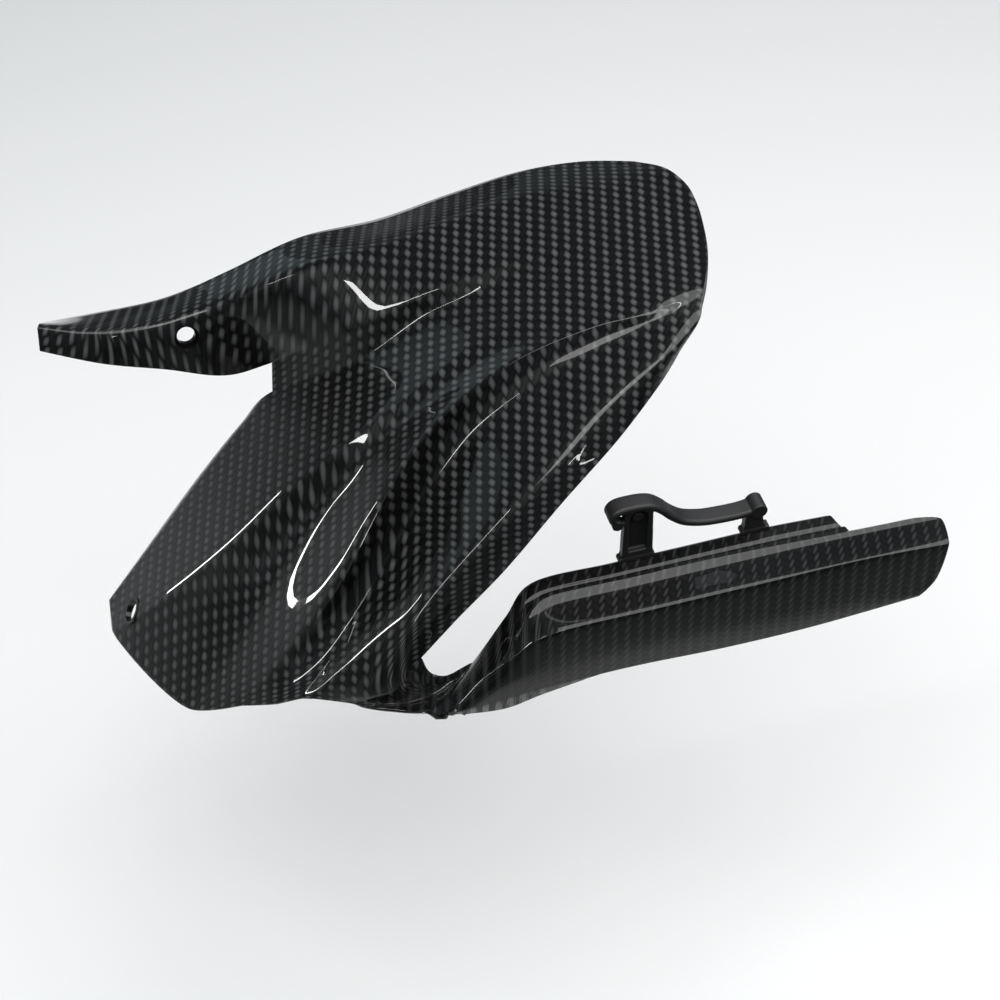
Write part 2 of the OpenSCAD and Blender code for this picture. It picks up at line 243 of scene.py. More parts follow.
def makeCarbon(settings):
    material, nodes, links = newMaterial("twillCarbonLacquer")
    tree = material.node_tree
    surface = nodes["Principled BSDF"]
    place = nodes.new("ShaderNodeUVMap")
    place.uv_map = "weave"
    twill = nodes.new("ShaderNodeGroup")
    twill.node_tree = makeTwillGroup()
    links.new(place.outputs[0], twill.inputs["Tows"])
    # painted sheen: one set of tows is painted lighter on the fender and the other set on the chain guard,
    # as where light catches them, and all the fibres on the chain guard are painted darker as shade; the
    # second number of the same places marks the inner skin
    parts = nodes.new("ShaderNodeUVMap")
    parts.uv_map = "parts"
    split = nodes.new("ShaderNodeSeparateXYZ")
    links.new(parts.outputs[0], split.inputs[0])
    onGuardShare, onInnerSkin = split.outputs[0], split.outputs[1]
    alongOnTop = twill.outputs["Along"]
    acrossOnTop = mathNode(tree, "SUBTRACT", 1, alongOnTop)
    paintedSheenMask = blendNumber(tree, onGuardShare, alongOnTop, acrossOnTop)
    towColour = mixColours(tree, paintedSheenMask, settings["darkTow"], settings["paintedSheenTow"])
    # partly painted: the dark gaps between the tows are real, and each float's rise to a light crown is a
    # painted highlight
    crownSheen = mixColours(tree, twill.outputs["Height"], settings["gapColour"], towColour)
    shade = nodes.new("ShaderNodeVectorMath")
    shade.operation = "SCALE"
    links.new(crownSheen, shade.inputs[0])
    towShade = mathNode(tree, "MULTIPLY_ADD", twill.outputs["Variation"], settings["towVariation"],
                        1 - settings["towVariation"] / 2)
    # painted shade: the fibres on the chain guard are painted darker
    guardPaintedShade = mathNode(tree, "MULTIPLY_ADD", onGuardShare, -settings["guardPaintedShade"], 1)
    links.new(mathNode(tree, "MULTIPLY", towShade, guardPaintedShade), shade.inputs["Scale"])
    links.new(shade.outputs[0], surface.inputs["Base Color"])
    bump = nodes.new("ShaderNodeBump")
    bump.inputs["Strength"].default_value = 1
    bump.inputs["Distance"].default_value = settings["weaveDepth"]
    links.new(twill.outputs["Height"], bump.inputs["Height"])
    links.new(bump.outputs[0], surface.inputs["Normal"])
    # the fibres of one set of tows run along one count of the weave, and of the other along the other
    fibres = nodes.new("ShaderNodeTangent")
    fibres.direction_type = "UV_MAP"
    fibres.uv_map = "weave"
    links.new(fibres.outputs[0], surface.inputs["Tangent"])
    quarterTurn = 0.25
    links.new(mathNode(tree, "MULTIPLY", acrossOnTop, quarterTurn), surface.inputs["Anisotropic Rotation"])
    surface.inputs["Anisotropic"].default_value = settings["grainAlongFibres"]
    surface.inputs["Roughness"].default_value = settings["fibreRoughness"]
    surface.inputs["Specular IOR Level"].default_value = settings["specularLevel"]
    # the lacquer is sprayed from outside, so what faces down or inward stays bare
    geometry = nodes.new("ShaderNodeNewGeometry")
    upward = nodes.new("ShaderNodeSeparateXYZ")
    links.new(geometry.outputs["Normal"], upward.inputs[0])
    lacquered = nodes.new("ShaderNodeMapRange")
    lacquered.inputs["From Min"].default_value = settings["bareBelow"]
    lacquered.inputs["From Max"].default_value = settings["lacqueredAbove"]
    links.new(upward.outputs[2], lacquered.inputs["Value"])
    links.new(mathNode(tree, "MULTIPLY", lacquered.outputs[0], mathNode(tree, "SUBTRACT", 1, onInnerSkin)),
              surface.inputs["Coat Weight"])
    surface.inputs["Coat Roughness"].default_value = settings["lacquerRoughness"]
    surface.inputs["Coat IOR"].default_value = settings["lacquerIndex"]
    return material


guideFinish = {
    "colour": (0.012, 0.012, 0.013),
    "roughness": 0.5,
    "grain": 0.00003,            # height of the moulded grain
    "grainsPerMetre": 2600,
}


def makeGuidePlastic(settings):
    material, nodes, links = newMaterial("satinGuidePlastic")
    surface = nodes["Principled BSDF"]
    surface.inputs["Base Color"].default_value = (*settings["colour"], 1)
    surface.inputs["Roughness"].default_value = settings["roughness"]
    place = nodes.new("ShaderNodeTexCoord")
    grain = nodes.new("ShaderNodeTexNoise")
    grain.inputs["Scale"].default_value = settings["grainsPerMetre"]
    grain.inputs["Detail"].default_value = 2
    links.new(place.outputs["Object"], grain.inputs["Vector"])
    bump = nodes.new("ShaderNodeBump")
    bump.inputs["Distance"].default_value = settings["grain"]
    links.new(grain.outputs[0], bump.inputs["Height"])
    links.new(bump.outputs[0], surface.inputs["Normal"])
    return material


carbon = makeCarbon(carbonSettings)
guidePlastic = makeGuidePlastic(guideFinish)
print("materials made")

# Shell: the moulding's driving sizes, as in the solid
moulding = {
    "wall": 2.0,
    "archRadius": 345.0,
    "panelAngle": 35.0,
    "panelLength": 250.0,
    "tailLength": 255.0,
    "halfWidth": 120.0,
    "armLength": 133.0,
    "armWidth": 48.0,
    "armHeight": 44.0,
    "armRootAhead": 26.0,        # the arm's root from the arch: ahead, to the right and down
    "armRootSide": 102.0,
    "armRootDrop": 3.0,
    "guardFront": 280.0,
    "guardLength": 300.0,
    "guardOuter": 165.0,
    "guardTop": 214.0,
    "guardWidth": 48.0,
    "skirtDepth": 45.0,
    "ledgeDrop": 10.0,
    "rowsPerStation": 18,
    "edgeBulge": 0.7,            # how far the rounded edge stands out, as a share of half the wall
    "waleStart": (200.0, 20.0),  # place from which the cloth's wales are counted
    "waleAzimuth": 163.0,        # direction in which they follow each other
    "waleSpacing": 7.1,
    "floatSpacing": 5.6,         # from one float to the next along a wale
}
panelTurn = math.radians(moulding["panelAngle"])
armRoot = np.array((moulding["archRadius"] * math.cos(panelTurn) + moulding["armRootAhead"],
                    -moulding["armRootSide"],
                    moulding["archRadius"] * math.sin(panelTurn) - moulding["armRootDrop"]))
guardRear = moulding["guardFront"] - moulding["guardLength"]
ledge = moulding["ledgeDrop"]
skirt = moulding["skirtDepth"]
inside = moulding["guardWidth"]


def onArch(points):
    placed = []
    for s, y, h in points:
        path = s * (moulding["panelLength"] if s < 0 else moulding["tailLength"]) / 100
        turn = panelTurn + max(path, 0) / moulding["archRadius"]
        radius = moulding["archRadius"] + h
        ahead = min(path, 0)
        placed.append((radius * math.cos(turn) - ahead * math.sin(turn), y * moulding["halfWidth"] / 100,
                       radius * math.sin(turn) + ahead * math.cos(turn)))
    return placed


def onArm(points):
    return [tuple(armRoot + (x * moulding["armLength"] / 100, -y * moulding["armWidth"] / 100,
                             z * moulding["armHeight"] / 100)) for x, y, z in points]


def onGuard(points):
    return [(guardRear + x * moulding["guardLength"] / 100, moulding["guardOuter"] - y,
             moulding["guardTop"] - z) for x, y, z in points]


# The arm's screw seat is the frame's origin
armSeat = np.array(onArm([(36, 24, 64)])[0])

rails = [
    # arm's outer edge
    onArm([(95, 100, 64), (72, 100, 62), (46, 100, 62), (28, 100, 72)])
    + onArch([(3, -125, 52), (17, -125, 27), (31, -124, -5), (49, -111, -12), (67, -98, -14),
              (82, -83, -14), (94, -65, -12)]),
    # arm's crease
    onArm([(100, 28, 128), (80, 28, 102), (61, 28, 90), (41, 28, 92)])
    + onArch([(4, -96, 60), (20, -88, 41), (35, -78, 23), (51, -71, 11), (68, -64, 4),
              (83, -50, 0), (99, -41, 0)]),
    # arm's inner edge
    onArm([(101, 16, 98), (75, 12, 56), (48, 8, 26), (22, 2, -2)])
    + onArch([(-8, -91, 15), (17, -55, 16), (35, -41, 14), (51, -31, 10), (67, -22, 6),
              (83, -12, 3), (101, -25, 1)]),
    # panel's edge
    onArch([(-99, -100, 2), (-80, -100, 2), (-53, -100, 2), (-31, -97, 2), (-16, -90, 3),
            (13, -48, 4), (34, -36, 6), (50, -23, 6), (67, -14, 5), (83, -5, 3), (101, -14, 1)]),
    # front ridge and its foot
    onArch([(-100, -78, 4), (-75, -52, 10), (-43, -27, 14), (-18, -16, 14), (3, -6, 12),
            (21, 2, 10), (36, 5, 9), (51, 8, 8), (67, 14, 7), (82, 20, 5), (100, 2, 2)]),
    onArch([(-81, 10, 0), (-57, 10, 0), (-30, 0, 2), (-11, 0, 4), (6, 5, 7),
            (23, 10, 8), (37, 13, 8), (51, 17, 8), (67, 23, 7), (82, 29, 5), (98, 20, 2)]),
    # side ridge, its foot and the foot of the recess
    onArch([(-62, 42, 0), (-45, 48, 3), (-16, 55, 9), (6, 47, 13), (17, 40, 14),
            (30, 34, 14), (43, 32, 13), (55, 33, 11), (69, 38, 8), (81, 44, 5), (94, 41, 2)]),
    onArch([(-50, 62, 0), (-40, 59, 0), (-14, 53, 0), (7, 45, 1), (19, 39, 2),
            (31, 34, 3), (43, 36, 4), (55, 38, 4), (69, 42, 3), (81, 47, 2), (92, 48, 1)]),
    onArch([(-42, 72, -2), (-30, 67, -6), (-10, 56, -8), (6, 46, -8), (18, 41, -6),
            (31, 39, -3), (43, 41, 0), (56, 43, 1), (69, 45, 1), (81, 50, 1), (91, 51, 0)]),
    # side line and near edge
    onArch([(-39, 78, -2), (-29, 82, -2), (-8, 96, -2), (6, 98, -2), (18, 97, -3),
            (32, 93, -4), (46, 87, -4), (58, 79, -3), (69, 72, -3), (80, 67, -2), (90, 55, -2)]),
    onArch([(-31, 94, -8), (-23, 104, -8), (-16, 109, -10), (-12, 108, -14), (-8, 106, -18),
            (6, 106, -20), (26, 105, -20), (44, 97, -19), (62, 85, -18), (76, 70, -16), (84, 59, -12)]),
    # floor of the slot
    onGuard([(109, 34, 71), (105, 32, 70), (103, 31, 66), (100, 31, 60), (98, 32, 53),
             (96, 31, 50), (95, 31, 48), (94, 31, 46), (93, 31, 44), (92, 31, 42), (91, 31, 40)]),
]
guardInner = onGuard([(105, 23, 65), (102, 22, 63), (98, 23, 61), (95, 24, 54), (91, 25, 41),
                      (84, 31, 16), (77, inside - 1, ledge + 1), (62, inside, ledge + 1),
                      (47, inside, ledge + 1), (32, inside, ledge + 1), (18, inside - 2, ledge + 1)])
guardCrease = onGuard([(101, 11, 58), (100, 10, 54), (98, 9, 49), (97, 8, 46), (95, 7, 42),
                       (86, 3, 18), (78, 1, 2), (59, 0, 0), (39, 0, 0), (18, 0, 0), (0, 1, 5)])
skirtRails = [
    onGuard([(100, 5, 54), (99, 4, 53), (98, 3, 49), (97, 2, 47), (96, 1, skirt),
             (88, -1, skirt - 12), (79, -2, skirt - 18), (60, -3, skirt - 18), (41, -3, skirt - 17),
             (21, -3, skirt - 17), (2, -1, skirt - 12)]),
    onGuard([(99, 3, 51), (98, 1, 51), (98, 0, 48), (97, 0, 47), (96, -1, skirt + 2),
             (89, -1, skirt + 1), (80, -2, skirt - 2), (62, -2, skirt - 2), (44, -2, skirt + 1),
             (26, -2, skirt + 1), (5, -1, skirt - 2)]),
    onGuard([(98, 5, 52), (97, 5, 57), (96, 5, 57), (95, 5, 58), (94, 5, skirt + 14),
             (86, 7, skirt + 20), (78, 5, skirt + 12), (62, 1, skirt), (44, 1, skirt + 3),
             (26, 1, skirt + 3), (5, 2, skirt - 2)]),
]
# Steps across the guard's top: share of the way across, share of the way along at the rear end
# and height above the ledge
guardSteps = [(0.03, 0.01, 0), (0.19, 0.04, 0), (0.23, 0.06, -1.2), (0.29, 0.08, 3.2),
              (0.38, 0.1, 3.2), (0.49, 0.8, ledge + 1), (0.57, 1.06, ledge - 0.8)]

frontStations = 4
stations = 10
notchRail = 2
ridgeRail = 4
slotRail = 10
slotEndRail = 12
# station where the guard's flat top starts and how many stations it takes to form
topStart, topRun = 5, 1.2
# where that top begins to fall away to the rear, over how many stations and by what share
fallStart, fallRun, fallShare = 7.5, 2.5, 0.45
# stations over which the skin joins up behind the notch and ahead of the slot, the station where the
# ledge's own corners are sharp, and the stations over which the ridges fade out at the tail
notchRun, slotRun, ledgeEnd, ridgeFade = 2, 1.5, 6, 2
# faces from each rail to the next, and how round the skin passes over each rail
spans = [10, 12, 10, 12, 12, 12, 8, 8, 12, 12, 10, 9, 4, 5, 4, 5, 4, 5, 5, 9, 8, 6, 6]
roundOver = [1, 0.35, 0.35, 0.7, 0.3, 0.8, 0.25, 0.5, 0.5, 0.5, 1, 1, 1, 0.3, 0.3, 0.4, 0.6, 0.4,
             0.8, 0.5, 0.25, 0.8, 0.3, 1]


def along(rail, s):
    rail = np.array(rail)
    last = len(rail) - 1
    i = np.minimum(np.floor(s).astype(int), last - 1)
    t = (s - i)[:, None]
    a, b, c, d = rail[np.maximum(i - 1, 0)], rail[i], rail[i + 1], rail[np.minimum(i + 2, last)]
    return 0.5 * (2 * b + (c - a) * t + (2 * a - 5 * b + 4 * c - d) * t ** 2
                  + (3 * b - a - 3 * c + d) * t ** 3)


def unit(vectors):
    return vectors / np.maximum(np.linalg.norm(vectors, axis=-1, keepdims=True), 0.001)


def ramp(x):
    t = np.clip(x, 0, 1)
    return t * t * (3 - 2 * t)


def stepRail(number, s):
    a = along(guardInner, s)
    b = along(guardCrease, s)
    m = ramp((s - topStart) / topRun)
    even = (number + 1) / (len(guardSteps) + 1) * (1 - m)
    acrossShare, alongShare, height = guardSteps[number]
    f = acrossShare * m + even
    x = alongShare * m + even
    rear = ramp((s - fallStart) / fallRun) * fallShare
    top = (a[:, 2] + (b[:, 2] - a[:, 2]) * f) * (1 - m) \
        + (moulding["guardTop"] - ledge + height * (1 - rear)) * m
    return np.stack((a[:, 0] + (b[:, 0] - a[:, 0]) * x, a[:, 1] + (b[:, 1] - a[:, 1]) * f, top), axis=1)


def joined(rail, s):
    # how far a rail is joined across to its neighbours, beside the notch, the slot and the ledge
    if rail in (notchRail, notchRail + 1):
        return ramp((s - frontStations) / notchRun)
    if rail in (slotRail, slotEndRail):
        return ramp((frontStations - s) / slotRun)
    if rail in (slotEndRail + 1, slotEndRail + 2):
        return ramp((ledgeEnd - s) / slotRun)
    return np.ones_like(s)


def rounding(rail, s):
    # the fender's ridges fade out towards its tail
    m = ramp((s - stations + ridgeFade) / ridgeFade) if rail <= slotRail else np.zeros_like(s)
    return (roundOver[rail] * (1 - m) + m)[:, None]


def makeSkin():
    s = np.linspace(0, stations, stations * moulding["rowsPerStation"] + 1)
    lines = [along(rail, s) for rail in rails] + [along(guardInner, s)]
    lines += [stepRail(number, s) for number in range(len(guardSteps))]
    lines += [along(guardCrease, s)] + [along(rail, s) for rail in skirtRails]
    columns = []
    last = len(lines) - 1
    for k in range(last):
        chord = lines[k + 1] - lines[k]
        d = unit(chord)
        m = np.linalg.norm(chord, axis=1, keepdims=True)
        before = unit(d + (unit(lines[k] - lines[k - 1]) if k > 0 else d))
        after = unit(d + (unit(lines[k + 2] - lines[k + 1]) if k < last - 1 else d))
        ja, jb = joined(k, s)[:, None], joined(k + 1, s)[:, None]
        ta = unit(d * (1 - ja) + before * ja) * m * rounding(k, s)
        tb = unit(d * (1 - jb) + after * jb) * m * rounding(k + 1, s)
        for i in range(spans[k]):
            t = i / spans[k]
            columns.append(lines[k] * (2 * t ** 3 - 3 * t ** 2 + 1) + ta * (t ** 3 - 2 * t ** 2 + t)
                           + lines[k + 1] * (3 * t ** 2 - 2 * t ** 3) + tb * (t ** 3 - t ** 2))
    columns.append(lines[last])
    return np.stack(columns, axis=1)


def columnOf(rail):
    return sum(spans[:rail])


def filledCells(rowCount, columnCount):
    # the cells of the grid that the moulding has: none in the notch and none in the slot
    filled = np.ones((rowCount, columnCount), dtype=bool)
    notchRow = frontStations * moulding["rowsPerStation"]
    filled[:notchRow, columnOf(notchRail):columnOf(notchRail + 1)] = False
    filled[notchRow:, columnOf(slotRail):columnOf(slotEndRail)] = False
    return filled


def gridNormals(skin, filled):
    cells = unit(np.cross(skin[1:, 1:] - skin[:-1, :-1], skin[1:, :-1] - skin[:-1, 1:])) * filled[..., None]
    normals = np.zeros_like(skin)
    for i in (0, 1):
        for j in (0, 1):
            normals[i:i + cells.shape[0], j:j + cells.shape[1]] += cells
    return unit(normals)


def weavePlaces(skin):
    # tow counts of the cloth: its wales follow each other along one heading, seen from above, and each
    # runs across the skin and down the guard's skirt
    ahead, aside = moulding["waleStart"]
    heading = math.radians(moulding["waleAzimuth"])
    w = (skin[..., 0] - ahead) * math.cos(heading) + (skin[..., 1] - aside) * math.sin(heading)
    step = np.linalg.norm(np.diff(skin, axis=1), axis=2)
    down = np.sqrt(np.maximum(step ** 2 - np.diff(w, axis=1) ** 2, 0))
    f = np.concatenate((np.zeros((len(skin), 1)), np.cumsum(down, axis=1)), axis=1)
    middle = columnOf(ridgeRail)
    f += skin[:, middle, 1][:, None] - f[:, middle][:, None]
    wales, floats = w / moulding["waleSpacing"], f / moulding["floatSpacing"]
    return np.stack((2 * wales + floats, 2 * wales - floats), axis=-1)


def makeShell():
    skin = makeSkin()
    rowCount, columnCount = skin.shape[0] - 1, skin.shape[1] - 1
    filled = filledCells(rowCount, columnCount)
    normals = gridNormals(skin, filled)
    inner = skin - normals * moulding["wall"]
    width = columnCount + 1
    skinSize = (rowCount + 1) * width
    number = np.arange(skinSize).reshape(rowCount + 1, width)
    points = [*skin.reshape(-1, 3), *inner.reshape(-1, 3)]
    places = weavePlaces(skin).reshape(-1, 2)
    places = [*places, *places]
    columns = np.arange(width)
    share = ramp((columns - columnOf(slotRail)) / (columnOf(slotEndRail) - columnOf(slotRail)))
    outside = [(x, 0) for _ in range(rowCount + 1) for x in share]
    partPlaces = outside + [(x, 1) for x, _ in outside]
    faces = []
    borders = []
    outward = {}
    for i, j in zip(*np.nonzero(filled)):
        a, b, c, d = (int(number[i, j]), int(number[i, j + 1]), int(number[i + 1, j + 1]),
                      int(number[i + 1, j]))
        faces.append((a, d, c, b))
        faces.append((a + skinSize, b + skinSize, c + skinSize, d + skinSize))
        neighbours = (((i - 1, j), a, b, d, c), ((i, j + 1), b, c, a, d),
                      ((i + 1, j), c, d, b, a), ((i, j - 1), d, a, c, b))
        for (row, column), first, second, behindFirst, behindSecond in neighbours:
            if 0 <= row < rowCount and 0 <= column < columnCount and filled[row, column]:
                continue
            borders.append((first, second))
            for corner, behind in ((first, behindFirst), (second, behindSecond)):
                pull = unit(points[corner] - points[behind])
                outward[corner] = outward.get(corner, 0) + pull
    # a rounded edge: three points on a half circle between the outer and the inner skin
    flatNormals = normals.reshape(-1, 3)
    rim = {}
    for corner, pull in outward.items():
        normal = flatNormals[corner]
        pull = unit(pull - normal * np.dot(pull, normal))
        middle = points[corner] - normal * moulding["wall"] / 2
        rim[corner] = len(points)
        for turn in (45, 90, 135):
            lift = math.cos(math.radians(turn)) * normal
            out = math.sin(math.radians(turn)) * moulding["edgeBulge"] * pull
            points.append(middle + (lift + out) * moulding["wall"] / 2)
            places.append(places[corner])
            partPlaces.append(partPlaces[corner])
    for first, second in borders:
        loopA = [first, rim[first], rim[first] + 1, rim[first] + 2, first + skinSize]
        loopB = [second, rim[second], rim[second] + 1, rim[second] + 2, second + skinSize]
        for k in range(4):
            faces.append((loopA[k], loopB[k], loopB[k + 1], loopA[k + 1]))
    used = sorted({corner for face in faces for corner in face})
    renumber = {old: new for new, old in enumerate(used)}
    faces = [tuple(renumber[corner] for corner in face) for face in faces]
    points = [(np.array(points[old]) - armSeat) * mm for old in used]
    made = makeObject("shell_moulding", points, faces, carbon)
    corners = np.zeros(len(made.data.loops), dtype=int)
    made.data.loops.foreach_get("vertex_index", corners)
    for layerName, values in (("weave", places), ("parts", partPlaces)):
        layer = made.data.uv_layers.new(name=layerName)
        placed = np.array([values[old] for old in used], dtype=np.float32)
        layer.data.foreach_set("uv", placed[corners].ravel())
    return made


screwSettings = {
    "recessWidth": 15.0,
    "armBoss": (-3.5, 2.5, 10.0),    # low end, high end and radius
    "tabRing": (-4.0, 0.0, 9.5),
    "recessDepth": 12.0,
    "boreReach": 10.0,               # how far a hole's cutter reaches to each side
    "sharpAngle": 38.0,
}


def fitScrewSeats(shell, settings):
    arm, tab = mounts["arm_screw"], mounts["tab_screw"]
    for mount, (low, high, radius) in ((arm, settings["armBoss"]), (tab, settings["tabRing"])):
        boss = makeRod("boss", mount["pos_m"], mount["axis"], radius * mm, low * mm, high * mm, carbon)
        combine(shell, boss, "UNION")
    recess = makeRod("recess", arm["pos_m"], arm["axis"], settings["recessWidth"] / 2 * mm, 0,
                     settings["recessDepth"] * mm, carbon)
    combine(shell, recess, "DIFFERENCE")
    reach = settings["boreReach"] * mm
    for mount in (arm, tab):
        bore = makeRod("bore", mount["pos_m"], mount["axis"], mount["dims"]["r_mm"] * mm,
                       -reach, reach, carbon)
        combine(shell, bore, "DIFFERENCE")
    shell.data.set_sharp_from_angle(angle=math.radians(settings["sharpAngle"]))


shell = makeShell()
print("shell lofted", len(shell.data.polygons))
fitScrewSeats(shell, screwSettings)
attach(shell, "root")
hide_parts("mudguard_shell")
print("shell ready", len(shell.data.polygons))

# Hose guide
guideSettings = {
    "strapLength": 88.0,
    "strapWidth": 11.5,
    "strapThickness": 4.5,
    "strapHigh": 42.0,
    "strapLow": 16.0,
    "strapCorner": 1.2,
    "rollShares": (0.75, 1.1),   # radius of the rolled high and low end as shares of the thickness
    "alongGuard": 140 / 300,     # share of the guard's length from its rear end
    "seatInset": 2.5,
    "legDepth": 5.0,
    "legWidth": 18.0,
    "highLegPlace": 0.34,        # shares of the strap's length from its middle
    "lowLegPlace": -0.45,
    "lowLegShare": 0.6,          # width of the low leg as a share of the high one's
    "legBelowStrap": 1.5,        # how far the high leg ends below the strap's line
    "highSpread": 1.0,
    "lowSpread": 4.0,
    "pocketShare": 0.3,          # half width of the pocket as a share of the leg's width
    "pocketFloor": 7.0,
    "pocketHead": 3.0,           # left above the pocket
    "pocketBack": 1.5,           # wall behind the pocket
    "pegShare": 0.6,
    "cellSize": 0.42,            # size of the cells that round the moulding's corners
}
guideMiddle = guardRear + guideSettings["alongGuard"] * moulding["guardLength"]
legOuter = moulding["guardOuter"] - moulding["guardWidth"] + guideSettings["seatInset"]
ledgeTop = moulding["guardTop"] - ledge
guideOrigin = np.array((guideMiddle, legOuter, ledgeTop)) - armSeat
# the strap's line: percent of half its length, and percent of the rise from its low to its high end
strapLine = [(96, 60), (103, 80), (96, 97), (75, 100), (53, 94), (37, 73), (23, 46),
             (5, 21), (-20, 6), (-45, 1), (-70, 0), (-86, 3), (-96, 3)]


def onGuide(x, out, z):
    # a point by its place along the ledge, out from the legs' outer side and up from the ledge
    return Vector((guideOrigin + (x, out, z)) * mm)


def makeStrapTree():
    tree = bpy.data.node_groups.new("strapAlongPath", "GeometryNodeTree")
    tree.interface.new_socket("Geometry", in_out="INPUT", socket_type="NodeSocketGeometry")
    for name in ("Width", "Thickness", "Corner"):
        tree.interface.new_socket(name, in_out="INPUT", socket_type="NodeSocketFloat")
    tree.interface.new_socket("Material", in_out="INPUT", socket_type="NodeSocketMaterial")
    tree.interface.new_socket("Geometry", in_out="OUTPUT", socket_type="NodeSocketGeometry")
    start = tree.nodes.new("NodeGroupInput")
    end = tree.nodes.new("NodeGroupOutput")
    section = tree.nodes.new("GeometryNodeCurvePrimitiveQuadrilateral")
    tree.links.new(start.outputs["Width"], section.inputs["Width"])
    tree.links.new(start.outputs["Thickness"], section.inputs["Height"])
    fillet = tree.nodes.new("GeometryNodeFilletCurve")
    tree.links.new(section.outputs[0], fillet.inputs["Curve"])
    tree.links.new(start.outputs["Corner"], fillet.inputs["Radius"])
    sweep = tree.nodes.new("GeometryNodeCurveToMesh")
    tree.links.new(start.outputs["Geometry"], sweep.inputs["Curve"])
    tree.links.new(fillet.outputs[0], sweep.inputs["Profile Curve"])
    sweep.inputs["Fill Caps"].default_value = True
    real = tree.nodes.new("GeometryNodeRealizeInstances")
    tree.links.new(sweep.outputs[0], real.inputs[0])
    finish = tree.nodes.new("GeometryNodeSetMaterial")
    tree.links.new(real.outputs[0], finish.inputs["Geometry"])
    tree.links.new(start.outputs["Material"], finish.inputs["Material"])
    tree.links.new(finish.outputs[0], end.inputs["Geometry"])
    return tree


def makeStrap(settings):
    half = settings["strapLength"] / 2
    rise = settings["strapHigh"] - settings["strapLow"]
    line = [(p[0] * half / 100, 0, settings["strapLow"] + p[1] * rise / 100) for p in strapLine]
    steps = 8
    path = along(line, np.linspace(0, len(line) - 1, steps * (len(line) - 1) + 1))
    curve = bpy.data.curves.new("strap path", "CURVE")
    curve.dimensions = "3D"
    spline = curve.splines.new("POLY")
    spline.points.add(len(path) - 1)
    for point, (x, y, z) in zip(spline.points, path):
        point.co = (*onGuide(x, y + 1 - settings["strapWidth"] / 2, z), 1)
    made = bpy.data.objects.new("strap", curve)
    scene.collection.objects.link(made)
    step = made.modifiers.new("strap", "NODES")
    step.node_group = makeStrapTree()
    values = {"Width": settings["strapWidth"] * mm, "Thickness": settings["strapThickness"] * mm,
              "Corner": settings["strapCorner"] * mm, "Material": guidePlastic}
    for item in step.node_group.interface.items_tree:
        if item.in_out == "INPUT" and item.name in values:
            step[item.identifier] = values[item.name]
    graph = bpy.context.evaluated_depsgraph_get()
    mesh = bpy.data.meshes.new_from_object(made.evaluated_get(graph))
    bpy.data.objects.remove(made)
    strap = bpy.data.objects.new("strap", mesh)
    scene.collection.objects.link(strap)
    return strap, path


def makeSlab(name, outline, out, depth):
    # an outline along and above the ledge, given its depth inward
    count = len(outline)
    points = [onGuide(x, out, z) for x, z in outline] + [onGuide(x, out - depth, z) for x, z in outline]
    faces = [tuple(range(count)), tuple(range(2 * count - 1, count - 1, -1))]
    faces += [(i, i + count, (i + 1) % count + count, (i + 1) % count) for i in range(count)]
    made = makeObject(name, points, faces, guidePlastic, smooth=False)
    build = bmesh.new()
    build.from_mesh(made.data)
    bmesh.ops.recalc_face_normals(build, faces=build.faces)
    build.to_mesh(made.data)
    build.free()
    return made


def makeLeg(x, width, height, spread, settings):
    # a leg that spreads to the rear over its foot
    half, foot = width / 2, settings["legDepth"] / 2
    post = makeSlab("post", [(x - half - spread, 0), (x + half + 1, 0), (x + half, 2 * foot),
                             (x + half - 0.6, height), (x - half + 0.6, height),
                             (x - half - spread / 3, 2 * foot)], 0, settings["legDepth"])
    base = makeSlab("base", [(x - half - spread - 1, 0), (x + half + 2, 0), (x + half + 1.5, foot),
                             (x - half - spread - 0.5, foot)], 0.5, settings["legDepth"] + 1)
    return [post, base]


